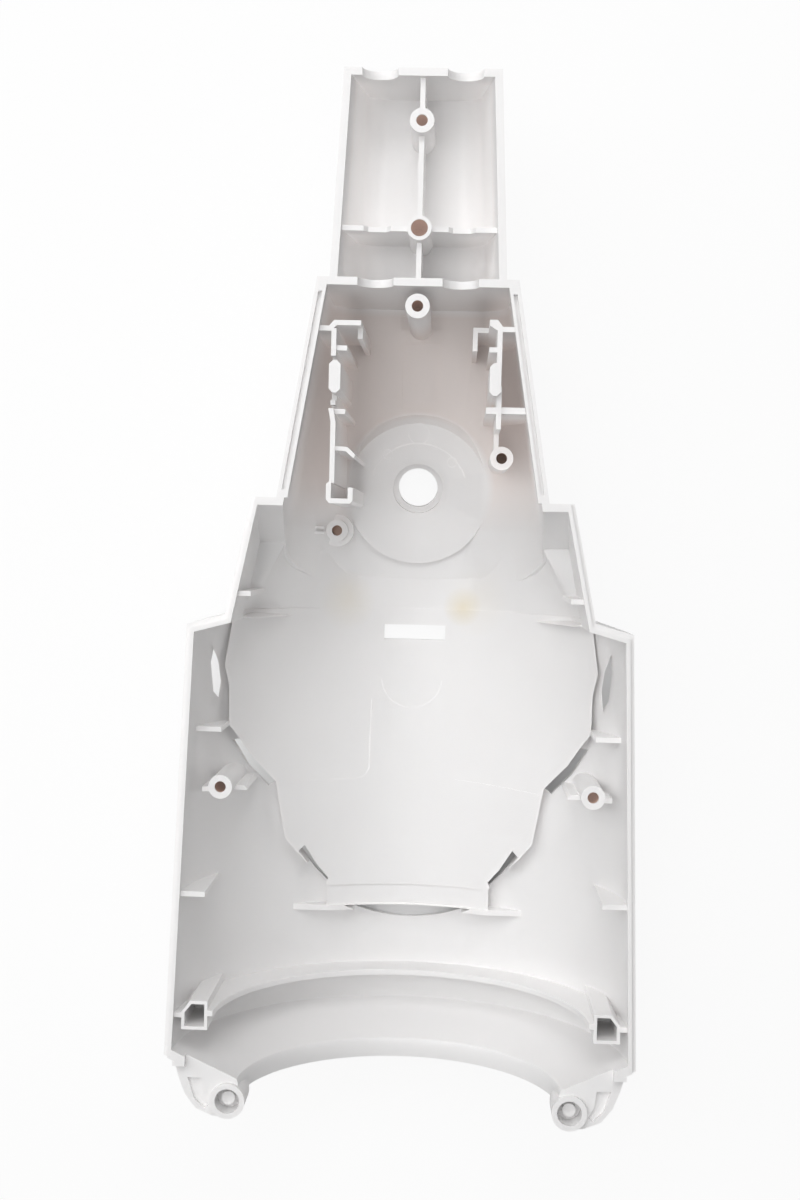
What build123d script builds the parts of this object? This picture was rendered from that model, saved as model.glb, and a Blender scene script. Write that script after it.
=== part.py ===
"""Upper housing of a stick vacuum: one moulded half shell, open side up.

X runs across the shell, Y runs along it towards the handle, Z points up out of the open side.
The origin is under the middle of the outline, on the level of the lowest back surface.
Depths are measured down from the rim, which lies on the level RIM.
"""
import os
from math import sqrt

from build123d import *

# Overall form, in millimetres
TROUGH_DEPTH = 66.0         # depth of the motor trough, the deepest part
RIM = TROUGH_DEPTH          # height of the rim over the lowest back surface
WALL = 2.2                  # main wall
RIB = 1.4                   # ribs and plates
OVER = 6.0                  # how far cutting shapes run past a face
HANDLE_END = 147.5          # upper end of the handle
HOUSING_TOP = 90.0          # upper end of the switch housing
FLARE_TOP = 28.6            # where the housing steps out to the flare
TROUGH_TOP = -4.4           # where the flare steps out to the motor trough
TROUGH_END = -130.5         # lower end of the trough's side walls

# Half widths at the rim and depths of the back
HANDLE_HALF = (24.6, 21.9)          # lower end, upper end
HANDLE_DEPTH = 28.0
HANDLE_CORNER = 9.0
HANDLE_LEAN = 4.4                   # how far the handle's sides lean in at its floor
HOUSING_HALF = (38.0, 28.0)         # flare step, upper end
HOUSING_DEPTH = (63.2, 50.2)
HOUSING_CORNER = (30.0, 11.0)
HOUSING_LOW = 0.9                   # lower end of the housing's inside, within the flare
FLARE_HALF = (51.8, 45.0)           # lower end, upper end
FLARE_CORNER = 40.0
BLEND = 0.06                        # how far a corner's round stands past the flat faces beside it
FLARE_LEAN = 0.40                   # lean of the flare's inclined end wall
TROUGH_HALF = (66.6, 62.4)          # lower end, upper end
SHOULDER_FALL = 2.9                 # fall of the trough's shoulder towards its outer corner

# Rim joint
LEDGE_WIDTH = 1.1
LEDGE_DROP = 1.0
GROOVE_INSET = 1.1
GROOVE_WIDTH = 1.1
GROOVE_DROP = 1.6
GROOVE_END = 86.0
BAND_WIDTH = 3.1
BAND_DEPTH = 5.0

# Neck at the lower end, turned about the trough's axis: positions along Y and radii
NECK_FOOT = -128.5
NECK_CREST = -137.2
NECK_CREST_R = 45.5
NECK_LIP = -142.2
NECK_LIP_R = 46.4
CREST_ROUND = 1.6

# Sockets and ears beside the neck
SOCKET_X = 48.4
SOCKET_Y = -142.5
SOCKET_R = 5.0
SOCKET_BORE_R = 3.5
SOCKET_DEPTH = 6.0
SOCKET_DROP = 0.9                   # top of the socket below the rim
SOCKET_FOOT = 12.0
EAR_DROP = 2.4
EAR_DEPTH = 28.0                    # depth of the ears at the end wall
EAR_FRONT = 9.0                     # depth of the ears at their outer end
EAR_SLOPE = 1.09                    # slope of the ears' underside
POCKET_DEPTH = 1.2
CORNER_RIB = (60.5, 64.0, -132.6, -131.2)

# Square sockets and arch rib in the lower trough
ARCH_Y = -117.0
ARCH_R = 53.2
ARCH_THICK = 1.6
BOX_WALL = 0.9
BOX_IN = 54.6
BOX_OUT = 62.0
BOX_TOP = -114.4
BOX_LOW = -122.6
BOX_BEVEL = 2.4
BOX_DEPTH = 21.0

# Raised panel inside the trough
PANEL_TOP = -4.0
PANEL_END = -97.5
PANEL_RISE = (6.3, 0.5)             # height over the trough's floor at the tongue and at the top
PANEL_EDGE_WALL = 1.8
TONGUE_HALF = 25.2
TONGUE_CREASE = -91.0
TONGUE_STEP = 0.6
CROSS_RIB_HALF = 35.6
CROSS_RIB_DROP = 52.6
LENS_R = 43.0
LENS_LOW = -102.4
SLOT_HALF = 9.7                     # slot through the panel
SLOT_Y = (-13.8, -9.2)

# Screw bosses: x, y and depth of the top
BOSS_R = 3.4
BOSS_HOLE_R = 1.6
BOSS_FLOOR = 3.0                    # plastic left under a screw hole
SCREW_DEPTH = 15.0
BOSS_A = (0.0, 133.2, 0.0)
BOSS_B = (0.0, 103.8, 0.0)
BOSS_B_HOLE_R = 2.35
BOSS_C = (0.0, 82.4, 0.6)
BOSS_D = (25.0, 42.0, 24.0)
BOSS_E = (-24.7, 20.0, 53.0)
BOSS_E_HOLE = 4.0                   # depth of the hole in the low boss
BOSS_E_BASE = (5.0, 2.0)            # radius of its wider base and how far that lies below its top
SIDE_BOSS = (53.0, -54.0, 7.0)
SIDE_BOSS_LEFT = (-SIDE_BOSS[0], SIDE_BOSS[1], SIDE_BOSS[2])
BOSSES = (BOSS_A, BOSS_B, BOSS_C, BOSS_D, BOSS_E, SIDE_BOSS, SIDE_BOSS_LEFT)

# Ribs of the motor trough
PLATE_DROP = 2.0                    # top of the plates below the rim
GUSSET_X = 56.0
GUSSET_Y = -83.9
WING_RIB_X = 53.6
WING_RIB_Y = -38.0
WING_RIB_DROP = 11.0
FLARE_RIB_X = 44.8
FLARE_RIB_Y = 1.5
WING_IN = 46.4
WING_OUT = 58.8
WING_FALL = 9.0

# Switch guides. They are drawn as (distance from the guide's line towards the middle, y)
GUIDE_X = 23.1
GUIDE_TOP = 76.0
REST_Y = (58.0, 67.0)
REST_OUT = (-1.0, -0.6)             # outer side of the rests on the left and on the right guide
REST_THICK = 3.2
HOOK_DROP = 9.0
CATCH_DROP = 4.0
LEDGE_PLATE_DROP = 19.0
TO_WALL = GUIDE_X - HOUSING_HALF[0]
HALF_RIB = RIB / 2
TIE_Y = 54.3                        # tie between the right guide and the wall
TIE_HALF = 0.9
LEFT_HOOK = [
    (-1.0, GUIDE_TOP - 0.7), (0.8, GUIDE_TOP + 0.9), (7.5, GUIDE_TOP + 0.9), (7.5, GUIDE_TOP + 2.3),
    (0.0, GUIDE_TOP + 2.3), (-1.4, GUIDE_TOP + 0.7),
]
LEFT_RAIL = [(-1.1, 53.8), (0.3, 53.8), (1.0, 50.0), (1.0, 33.0), (-0.4, 33.0), (-0.4, 50.0)]
LEFT_CATCH = [(0.0, 43.4), (4.4, 43.2), (6.7, 41.0), (6.2, 40.0), (3.9, 42.0), (0.0, 42.2)]
LEFT_FOOT = [
    (0.1, 33.8), (-1.2, 32.6), (-1.2, 28.4), (-0.2, 27.3), (5.5, 27.3), (6.3, 28.1), (6.3, 31.8),
    (4.9, 31.8), (4.9, 28.7), (0.2, 28.7), (0.2, 33.0),
]
RIGHT_HOOK = [
    (2.9, GUIDE_TOP + 1.6), (2.9, GUIDE_TOP + 3.2), (0.7, GUIDE_TOP + 3.2), (-0.8, GUIDE_TOP + 1.2),
    (0.3, GUIDE_TOP),
]

RIB_NOTCH = 2.0
SCALLOP_X = 11.8
SCALLOP_R = 5.0

# Round pad over the pivot hole
PAD_Y = 32.0
PAD_DROP = 57.0
PAD_TILT = 10.0
PAD_R = 22.0
PAD_RISE = 4.6
PAD_SKIRT = 2.4
PAD_HOLE_R = 6.1
PAD_HOLE_SHIFT = 1.5                # the hole lies this far up from the pad's middle
PAD_RING_R = 7.8
PAD_RING_DEPTH = 2.2
PAD_DISH_R = 10.2
PAD_DISH_DEPTH = 1.0

# Shallow steps in the floor of the switch housing: x, x, y, y
MARK_DEPTH = 0.5
FLOOR_MARKS = [(-5.5, 5.5, 58.0, 78.0), (-6.0, 6.0, 82.0, 86.0)]


def between(pair, start, end, y):
    """Value at y on a straight run from pair[0] at start to pair[1] at end."""
    return pair[0] + (pair[1] - pair[0]) * (y - start) / (end - start)


def block(x0, x1, y0, y1, z0, z1):
    """Box between two corners."""
    size = (abs(x1 - x0), abs(y1 - y0), abs(z1 - z0))
    return Pos((x0 + x1) / 2, (y0 + y1) / 2, (z0 + z1) / 2) * Box(*size)


def post(x, y, radius, z0, z1):
    """Upright round bar."""
    return Pos(x, y, (z0 + z1) / 2) * Cylinder(radius, z1 - z0)


def prism(points, z0, z1):
    """Upright prism on a plan outline."""
    face = make_face(Polyline(*points, close=True).edges())
    return Pos(0, 0, z0) * extrude(face, z1 - z0, dir=(0, 0, 1))


def mirrored(points):
    """The same plan outline on the other side."""
    return [(-x, y) for x, y in points]


def profile(points, half):
    """Body of even width across the shell on a side outline of (y, z) points."""
    face = make_face(Polyline(*points, close=True).edges())
    upright = Plane(origin=(0, 0, 0), x_dir=(0, 1, 0), z_dir=(1, 0, 0)) * face
    return extrude(upright, half, both=True)


def round_bar(start, end, start_r, end_r):
    """Bar from one point to another, straight or tapered."""
    run = Vector(*end) - Vector(*start)
    if abs(start_r - end_r) < 0.001:
        bar = Cylinder(start_r, run.length)
    else:
        bar = Cone(start_r, end_r, run.length)
    return Plane(origin=start, z_dir=run) * Pos(0, 0, run.length / 2) * bar


def channel(ends, halves, depths, corners, shrink, span, top):
    """Straight channel with a flat floor and rounded lower corners.

    ends, halves, depths and corners each hold the values at its two ends. It is drawn in all round by
    shrink and cut to span, and it reaches top over the rim.
    """
    lower, upper = span
    side = (halves[1] - halves[0]) / (ends[1] - ends[0])
    fall = (depths[1] - depths[0]) / (ends[1] - ends[0])
    side_slant = sqrt(1 + side * side)
    floor_slant = sqrt(1 + fall * fall)
    wide = []
    low = []
    for y in span:
        wide.append(between(halves, ends[0], ends[1], y) - shrink)
        low.append(RIM - between(depths, ends[0], ends[1], y) + shrink)
    plan = [(-wide[0], lower), (wide[0], lower), (wide[1], upper), (-wide[1], upper)]
    body = prism(plan, 0, RIM + top) & profile(
        [(lower, low[0]), (upper, low[1]), (upper, RIM + top), (lower, RIM + top)], 2 * RIM)
    marks = []
    for y in (lower - OVER, upper + OVER):
        corner = between(corners, ends[0], ends[1], y)
        x = between(halves, ends[0], ends[1], y) - corner * side_slant
        z = RIM - between(depths, ends[0], ends[1], y) + corner * floor_slant
        marks.append((x, y, z, corner))
    spread = (marks[1][3] - marks[0][3]) / (Vector(*marks[1][0:3]) - Vector(*marks[0][0:3])).length
    grow = 1 / sqrt(1 - spread * spread)
    radii = [mark[3] * grow - shrink + BLEND for mark in marks]
    bar = round_bar(marks[0][0:3], marks[1][0:3], radii[0], radii[1])
    outside = prism([(marks[0][0], marks[0][1]), (2 * RIM, marks[0][1]), (2 * RIM, marks[1][1]),
                     (marks[1][0], marks[1][1])], -RIM, 2 * RIM)
    outside = outside & profile([(marks[0][1], marks[0][2]), (marks[0][1], -RIM), (marks[1][1], -RIM),
                                 (marks[1][1], marks[1][2])], 3 * RIM)
    trim = outside - bar
    return body - trim - mirror(trim, about=Plane.YZ)


def trough_bar(lower, upper, shrinks):
    """Tapered round bar on the trough's axis, drawn in by one of the shrinks at each end."""
    lean = (TROUGH_HALF[1] - TROUGH_HALF[0]) / (TROUGH_TOP - TROUGH_END)
    marks = []
    for y, shrink in zip((lower, upper), shrinks):
        half = between(TROUGH_HALF, TROUGH_END, TROUGH_TOP, y)
        marks.append(((0, y, half), half * sqrt(1 + lean * lean) - shrink))
    return round_bar(marks[0][0], marks[1][0], marks[0][1], marks[1][1])


def trough_body(shrink, lower, upper, top):
    """Motor trough as a filled half round, drawn in all round by shrink."""
    wide = TROUGH_HALF[0] + OVER
    body = trough_bar(lower - OVER, upper + OVER, (shrink, shrink))
    body &= block(-wide, wide, lower, upper, -OVER, RIM)
    if top > 0:
        plan = [(between(TROUGH_HALF, TROUGH_END, TROUGH_TOP, y) - shrink, y) for y in (lower, upper)]
        body += prism(plan + mirrored(plan)[::-1], RIM - top / 2, RIM + top)
    corner = FLARE_HALF[0] - shrink
    reach = TROUGH_HALF[1] + OVER
    fall = SHOULDER_FALL * (reach - corner) / (TROUGH_HALF[1] - FLARE_HALF[0])
    for side in (-1, 1):
        wedge = [(side * corner, upper + 1), (side * corner, upper), (side * reach, upper - fall)]
        wedge.append((side * reach, upper + 1))
        body -= prism(wedge, -OVER, RIM + 2 * OVER)
    return body


def flare_body(shrink, lower, upper, top):
    """Flare between the switch housing and the trough."""
    ends = (TROUGH_TOP, FLARE_TOP)
    depths = (TROUGH_DEPTH, HOUSING_DEPTH[0])
    return channel(ends, FLARE_HALF, depths, (FLARE_CORNER, FLARE_CORNER), shrink, (lower, upper), top)


def housing_body(shrink, lower, upper, top):
    """Switch housing, a deep channel whose sides spread towards the flare."""
    ends = (FLARE_TOP, HOUSING_TOP)
    return channel(ends, HOUSING_HALF, HOUSING_DEPTH, HOUSING_CORNER, shrink, (lower, upper), top)


def handle_body(shrink, lower, upper, top):
    """Handle, a shallow channel whose sides lean in towards its floor."""
    plan = [(between(HANDLE_HALF, HOUSING_TOP, HANDLE_END, y) - shrink, y) for y in (lower, upper)]
    wide = [(x + top, y) for x, y in plan]
    body = prism(wide + mirrored(wide)[::-1], RIM - HANDLE_DEPTH + shrink, RIM + top)
    for side in (-1, 1):
        start = Vector(side * plan[0][0], lower, RIM)
        along = Vector(side * plan[1][0], upper, RIM) - start
        outward = Vector(-side * HANDLE_LEAN, 0, -HANDLE_DEPTH).cross(along) * side
        face = Plane(origin=start, x_dir=along, z_dir=outward)
        body -= face * Pos(0, 0, RIM / 2) * Box(6 * RIM, 6 * RIM, RIM)
    low = body.edges().group_by(Axis.Z)[0]
    corners = [edge for edge in low if abs(edge.tangent_at(0.5).Y) > 0.9]
    return fillet(corners, HANDLE_CORNER - shrink)


def panel_skin(sink):
    """Bar bounded by the panel's inner face, or by its back when sink is the wall."""
    shrinks = (WALL + PANEL_RISE[0] - sink, WALL + PANEL_RISE[1] - sink)
    bar = trough_bar(PANEL_END - OVER, PANEL_TOP + OVER, shrinks)
    wide = TROUGH_HALF[0]
    return bar + block(-wide, wide, PANEL_END - OVER, PANEL_TOP + OVER, RIM - 2 * OVER, RIM + 2 * OVER)


# Plan outline of the raised panel, right half from the top down
PANEL_HALF = [
    (53.0, PANEL_TOP), (54.9, -20.4), (53.7, -27.0), (53.5, -38.4), (50.4, -43.8), (47.6, -49.0),
    (41.0, -57.4), (38.0, -75.0), (34.4, -79.8), (TONGUE_HALF, -90.8), (TONGUE_HALF, PANEL_END),
]
PANEL_OUTLINE = PANEL_HALF + mirrored(PANEL_HALF)[::-1]

# Plan outline of the hollow behind the panel, right half from the top down
RECESS_HALF = [
    (51.0, PANEL_TOP - PANEL_EDGE_WALL), (51.4, -36.6), (45.2, -48.8), (38.8, -56.8), (35.8, -74.0),
    (30.4, -79.6), (TONGUE_HALF - PANEL_EDGE_WALL, -88.6),
    (TONGUE_HALF - PANEL_EDGE_WALL, PANEL_END + PANEL_EDGE_WALL),
]

# Slots beside the panel, right side
CORNER_SLOT = [(58.2, -14.0), (59.0, -20.0), (58.4, -28.6), (56.8, -31.4), (56.2, -25.5), (56.8, -19.5)]
EDGE_SLOT = [
    (50.6, -43.6), (53.4, -43.6), (49.2, -52.2), (43.6, -59.2), (41.2, -57.4), (44.6, -53.4), (48.0, -48.6),
]
TONGUE_SLOT = [(32.2, -77.8), (34.0, -79.6), (29.4, -86.2), (25.6, -90.4), (24.9, -88.6), (28.4, -84.2)]

# Plan outline of one ear beside the neck, right side, with the room under it and a shallow pocket
EAR = [
    (63.6, -127.0), (63.6, -132.6), (62.4, -136.6), (60.6, -141.2), (57.4, -145.2), (52.6, -147.2),
    (SOCKET_X, SOCKET_Y - SOCKET_R), (45.0, -146.0), (43.8, -141.5), (44.4, -137.0), (50.0, -127.0),
]
EAR_ROOM = [(61.4, -127.0), (61.4, -132.2), (58.4, -140.4), (56.0, -142.8), (52.6, -136.0), (48.0, -134.0)]
EAR_POCKET = [(56.0, -136.4), (60.0, -136.4), (58.0, -142.4), (55.0, -145.2), (53.8, -144.0), (55.4, -141.0)]


def turned_body(points):
    """Body turned about the trough's axis from points (y, radius), kept below the rim."""
    face = make_face(Polyline(*[(y, RIM - radius) for y, radius in points], close=True).edges())
    upright = Plane(origin=(0, 0, 0), x_dir=(0, 1, 0), z_dir=(1, 0, 0)) * face
    whole = revolve(upright, Axis((0, 0, RIM), (0, 1, 0)), 360)
    return whole - block(-2 * RIM, 2 * RIM, -3 * RIM, RIM, RIM, 3 * RIM)


def neck_form(wall, end):
    """Everything inside the end wall and the neck up to end: to their inner face, or wall further out."""
    slope = (NECK_FOOT - NECK_CREST) / (TROUGH_DEPTH - WALL - NECK_CREST_R)
    reach = TROUGH_DEPTH + OVER
    foot = NECK_FOOT + slope * (reach - TROUGH_DEPTH + WALL)
    points = [(0, 0), (0, reach), (foot - wall * sqrt(1 + slope * slope), reach)]
    if wall > 0:
        points.append((NECK_CREST - wall / 2, NECK_CREST_R + wall + CREST_ROUND))
    else:
        points.append((NECK_CREST + CREST_ROUND / 2, NECK_CREST_R + CREST_ROUND / 3))
        points.append((NECK_CREST - CREST_ROUND / 3, NECK_CREST_R))
    points += [(NECK_LIP, NECK_LIP_R + wall), (end, NECK_LIP_R + wall), (end, 0)]
    if end >= NECK_LIP:
        points = points[:-3] + [(end, NECK_LIP_R + wall), (end, 0)]
    return turned_body(points)


def outer_form():
    """The whole housing filled up to the rim."""
    body = trough_body(0, NECK_LIP - 1, TROUGH_TOP, 0) & neck_form(WALL, NECK_LIP)
    body += flare_body(0, TROUGH_TOP, FLARE_TOP, 0)
    body += housing_body(0, FLARE_TOP, HOUSING_TOP, 0)
    body += handle_body(0, HOUSING_TOP, HANDLE_END, 0)
    low_end_y = (NECK_FOOT + BOX_LOW) / 2
    low_end = block(-CORNER_RIB[0], CORNER_RIB[0], NECK_LIP - OVER, low_end_y, RIM - EAR_DROP, RIM + OVER)
    return body - low_end


def cavity_form():
    """The hollow of the housing, running past the rim."""
    hollow = trough_body(WALL, NECK_LIP - OVER, TROUGH_TOP - WALL, 0) & neck_form(0, NECK_LIP - 1)
    flare = flare_body(WALL, TROUGH_TOP - WALL - 1.0, FLARE_TOP - WALL, OVER)
    lean_run = FLARE_LEAN * (RIM + 2 * OVER)
    start = FLARE_TOP - WALL + FLARE_LEAN * OVER
    flare -= profile([(start, RIM + OVER), (start + lean_run, RIM + OVER), (start + lean_run, -OVER),
                      (start - lean_run, -OVER)], 2 * TROUGH_HALF[0])
    hollow += flare
    low = between((TROUGH_DEPTH, HOUSING_DEPTH[0]), TROUGH_TOP, FLARE_TOP, HOUSING_LOW)
    below = profile([(HOUSING_LOW, RIM - low + WALL), (FLARE_TOP, RIM - HOUSING_DEPTH[0] + WALL),
                     (FLARE_TOP, -2 * OVER), (HOUSING_LOW, -2 * OVER)], RIM)
    hollow += housing_body(WALL, HOUSING_LOW, HOUSING_TOP - WALL, OVER) - below
    hollow += handle_body(WALL, HOUSING_TOP, HANDLE_END - WALL, OVER)
    return hollow


def ear_form():
    """Ears beside the neck: hollow plates with side walls, each with a socket and a small corner rib."""
    top = RIM - EAR_DROP
    end = SOCKET_Y - SOCKET_R
    under = Plane(origin=(0, end, RIM - EAR_FRONT), x_dir=(1, 0, 0), z_dir=(0, -EAR_SLOPE, -1))
    beyond = under * Pos(0, 0, RIM / 2) * Box(2 * RIM, 4 * RIM, RIM)
    ears = Part()
    for side in (-1, 1):
        plan = [(side * x, y) for x, y in EAR]
        room = [(side * x, y) for x, y in EAR_ROOM]
        ear = prism(plan, RIM - EAR_DEPTH, top) - prism(room, -OVER, top - WALL)
        inner_x, outer_x, low, high = CORNER_RIB
        ear += block(side * inner_x, side * outer_x, low, high, RIM - EAR_DEPTH, RIM)
        pocket = [(side * x, y) for x, y in EAR_POCKET]
        ears += ear - beyond - prism(pocket, top - POCKET_DEPTH, RIM - SOCKET_DROP)
    ears = ears - neck_form(0.4 * WALL, NECK_LIP + WALL / 3)
    for side in (-1, 1):
        ears += post(side * SOCKET_X, SOCKET_Y, SOCKET_R, RIM - SOCKET_FOOT, RIM - SOCKET_DROP)
    return ears


def socket_cuts():
    """Bores of the two sockets."""
    cuts = Part()
    for side in (-1, 1):
        cuts += post(side * SOCKET_X, SOCKET_Y, SOCKET_BORE_R, RIM - SOCKET_DROP - SOCKET_DEPTH, RIM + OVER)
    return cuts


def scallops(y, drop):
    """Pair of round cuts in the top edge of a wall across the handle."""
    cuts = Part()
    for side in (-1, 1):
        cuts += Pos(side * SCALLOP_X, y, RIM - drop) * Rot(90, 0, 0) * Cylinder(SCALLOP_R, 2 * WALL)
    return cuts


def boss(spot, radius):
    """Round boss at spot (x, y, depth of the top), run down into the wall below it."""
    return post(spot[0], spot[1], radius, -OVER, RIM - spot[2])


def screw_hole(spot, radius, depth):
    """Blind hole in a boss."""
    return post(spot[0], spot[1], radius, RIM - spot[2] - depth, RIM + OVER)


def tab(x0, x1, y, drop):
    """Upright plate across the shell, centred on y."""
    return block(x0, x1, y - HALF_RIB, y + HALF_RIB, 0, RIM - drop)


def guide_piece(side, outline, drop):
    """Upright piece of a switch guide on an outline drawn from the guide's line."""
    return prism([(side * (GUIDE_X - inward), y) for inward, y in outline], 0, RIM - drop)


def guide_wall(side, inward0, inward1, y0, y1, drop):
    """Straight wall of a switch guide between two distances from the guide's line."""
    return guide_piece(side, [(inward0, y0), (inward1, y0), (inward1, y1), (inward0, y1)], drop)


def guide_plate(side, inward, y0, y1, drop):
    """Plate of a switch guide along the shell."""
    return guide_wall(side, inward - HALF_RIB, inward + HALF_RIB, y0, y1, drop)


def guide_tab(side, inward0, inward1, y, drop):
    """Plate of a switch guide across the shell."""
    return guide_wall(side, inward0, inward1, y - HALF_RIB, y + HALF_RIB, drop)


def rest(side, out):
    """Upright bar with cut-off corners that the switch rests on."""
    cut = REST_THICK / 3
    low, high = REST_Y
    inner = out + REST_THICK
    outline = [
        (out + cut, low), (inner - cut, low), (inner, low + cut), (inner, high - cut),
        (inner - cut, high), (out + cut, high), (out, high - cut), (out, low + cut),
    ]
    return guide_piece(side, outline, 0)


def left_guide():
    """Switch guide on the left: plates, a rest and hooks."""
    parts = guide_tab(-1, TO_WALL, 0, GUIDE_TOP, PLATE_DROP)
    parts += guide_piece(-1, LEFT_HOOK, PLATE_DROP)
    parts += guide_plate(-1, 6.9, GUIDE_TOP - 2.0, GUIDE_TOP + 1.6, HOOK_DROP)
    parts += guide_plate(-1, 0, 68.4, GUIDE_TOP, PLATE_DROP)
    parts += guide_tab(-1, 0, 3.7, 70.7, PLATE_DROP + 1)
    parts += rest(-1, REST_OUT[0])
    parts += guide_plate(-1, 0, 54.6, REST_Y[1] + 2, HOOK_DROP)
    parts += guide_tab(-1, -HALF_RIB, HALF_RIB, 55.6, CATCH_DROP)
    parts += guide_piece(-1, LEFT_RAIL, PLATE_DROP)
    parts += guide_tab(-1, 0, 3.5, 53.1, CATCH_DROP)
    parts += guide_piece(-1, LEFT_CATCH, PLATE_DROP + 1)
    parts += guide_piece(-1, LEFT_FOOT, PLATE_DROP - 0.8)
    return parts


def right_guide():
    """Switch guide on the right, tied to the wall and ending in a screw boss."""
    parts = guide_tab(1, TO_WALL, 0, GUIDE_TOP + 0.6, PLATE_DROP)
    parts += guide_piece(1, RIGHT_HOOK, PLATE_DROP)
    parts += guide_tab(1, 0, 7.3, GUIDE_TOP + 2.4, LEDGE_PLATE_DROP)
    parts += guide_plate(1, 6.7, GUIDE_TOP - 3.6, GUIDE_TOP + 3.0, LEDGE_PLATE_DROP)
    parts += guide_plate(1, 0, 66.0, GUIDE_TOP + 1, PLATE_DROP)
    parts += guide_tab(1, 0, 2.9, 70.9, PLATE_DROP)
    parts += rest(1, REST_OUT[1])
    parts += guide_plate(1, -0.2, 49.0, REST_Y[0] + 3, PLATE_DROP + 1)
    parts += guide_plate(1, -0.2, BOSS_D[1], 50.0, BOSS_D[2])
    parts += guide_wall(1, TO_WALL, 0, TIE_Y - TIE_HALF, TIE_Y + TIE_HALF, CATCH_DROP)
    parts += guide_wall(1, 0, 3.3, TIE_Y - TIE_HALF, TIE_Y + TIE_HALF, CATCH_DROP + 1)
    return parts


def handle_ribs():
    """Middle rib, cross rib and two bosses of the handle."""
    low = RIM - HANDLE_DEPTH
    parts = block(-RIB / 2, RIB / 2, HOUSING_TOP - WALL / 2, HANDLE_END - WALL / 2, low, RIM - PLATE_DROP)
    for spot in (BOSS_A, BOSS_B):
        edge = spot[1] - BOSS_R
        parts -= block(-RIB, RIB, edge - RIB_NOTCH, edge, RIM - PLATE_DROP - RIB_NOTCH, RIM)
    cross = tab(-HANDLE_HALF[0], HANDLE_HALF[0], BOSS_B[1], PLATE_DROP)
    for side in (-1, 1):
        outline = [(SCALLOP_X - SCALLOP_R, RIM), (SCALLOP_X - SCALLOP_R / 2, RIM - PLATE_DROP - RIB_NOTCH),
                   (SCALLOP_X + SCALLOP_R / 2, RIM - PLATE_DROP - RIB_NOTCH), (SCALLOP_X + SCALLOP_R, RIM)]
        face = make_face(Polyline(*[(side * x, z) for x, z in outline], close=True).edges())
        notch = Plane(origin=(0, BOSS_B[1], 0), x_dir=(1, 0, 0), z_dir=(0, -1, 0)) * face
        cross -= extrude(notch, RIB, both=True)
    parts += cross
    return parts


def side_ribs(side):
    """Gussets, boss wings and square socket on one side of the motor trough."""
    wall = side * (TROUGH_HALF[0] - WALL / 2)
    parts = tab(side * GUSSET_X, wall, GUSSET_Y, PLATE_DROP)
    parts += tab(side * WING_RIB_X, wall, WING_RIB_Y, WING_RIB_DROP)
    parts += tab(side * FLARE_RIB_X, side * (FLARE_HALF[0] - WALL / 2), FLARE_RIB_Y, PLATE_DROP)
    wing_y = SIDE_BOSS[1] - RIB
    parts += tab(side * WING_IN, side * WING_OUT, wing_y, SIDE_BOSS[2] + WING_FALL)
    parts += tab(side * SIDE_BOSS[0], side * WING_OUT, wing_y, SIDE_BOSS[2] + WING_FALL / 2)
    middle = (BOX_TOP + BOX_LOW) / 2
    rib_low = middle - RIB / 2
    rib_high = middle + RIB / 2
    frame = [(BOX_IN, BOX_TOP), (BOX_OUT - BOX_BEVEL, BOX_TOP), (BOX_OUT, BOX_TOP - BOX_BEVEL * 1.3),
             (BOX_OUT, rib_high), (TROUGH_HALF[0], rib_high), (TROUGH_HALF[0], rib_low),
             (BOX_OUT, rib_low), (BOX_OUT, BOX_LOW), (BOX_IN, BOX_LOW)]
    parts += prism([(side * x, y) for x, y in frame], 0, RIM - PLATE_DROP)
    return parts & half_space(side)


def half_space(side):
    """Half of the space on one side of the middle plane, below the rim."""
    return block(0, side * 3 * RIM, -3 * RIM, 3 * RIM, -OVER, RIM)


def box_opening(side):
    """Opening of one square socket."""
    near, far = BOX_IN + BOX_WALL, BOX_OUT - BOX_WALL
    low, high = BOX_LOW + BOX_WALL, BOX_TOP - BOX_WALL
    bevel_x = BOX_OUT - BOX_BEVEL - BOX_WALL / 2
    inner = [(near, high), (bevel_x, high), (far, high - BOX_BEVEL), (far, low), (near, low)]
    return prism([(side * x, y) for x, y in inner], RIM - BOX_DEPTH, RIM + OVER)


def arch_rib():
    """Rib round the trough's floor between the square sockets."""
    reach = TROUGH_DEPTH + OVER
    low = ARCH_Y - ARCH_THICK
    ring = turned_body([(ARCH_Y, ARCH_R), (ARCH_Y, reach), (low, reach), (low, ARCH_R)])
    half = BOX_IN + BOX_WALL / 2
    return ring & block(-half, half, low - 1, ARCH_Y + 1, -OVER, RIM - PLATE_DROP)


def cross_rib():
    """Rib that carries the end of the panel's tongue."""
    half = CROSS_RIB_HALF
    rib = block(-half, half, PANEL_END - RIB, PANEL_END + RIB / 4, -OVER, RIM - CROSS_RIB_DROP)
    return rib - panel_skin(0)


def panel_recess():
    """Hollow behind the raised panel, open to the back."""
    return prism(RECESS_HALF + mirrored(RECESS_HALF)[::-1], -OVER, RIM) - panel_skin(WALL)


def tongue_step():
    """Small step down on the tongue past its crease."""
    strip = block(-TONGUE_HALF - 1, TONGUE_HALF + 1, PANEL_END + RIB / 4, TONGUE_CREASE, 0, RIM / 2)
    return strip & panel_skin(TONGUE_STEP)


def lens_opening():
    """Crescent opening through the trough's floor below the tongue."""
    centre = LENS_LOW + LENS_R
    disc = post(0, centre, LENS_R, -OVER, RIM / 2)
    return disc & block(-LENS_R, LENS_R, LENS_LOW - 1, PANEL_END, -OVER, RIM / 2)


def edge_slots():
    """Slots through the floor beside the panel."""
    cuts = Part()
    for outline in (CORNER_SLOT, EDGE_SLOT, TONGUE_SLOT):
        for side in (-1, 1):
            cuts += prism([(side * x, y) for x, y in outline], -OVER, RIM)
    return cuts


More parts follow.
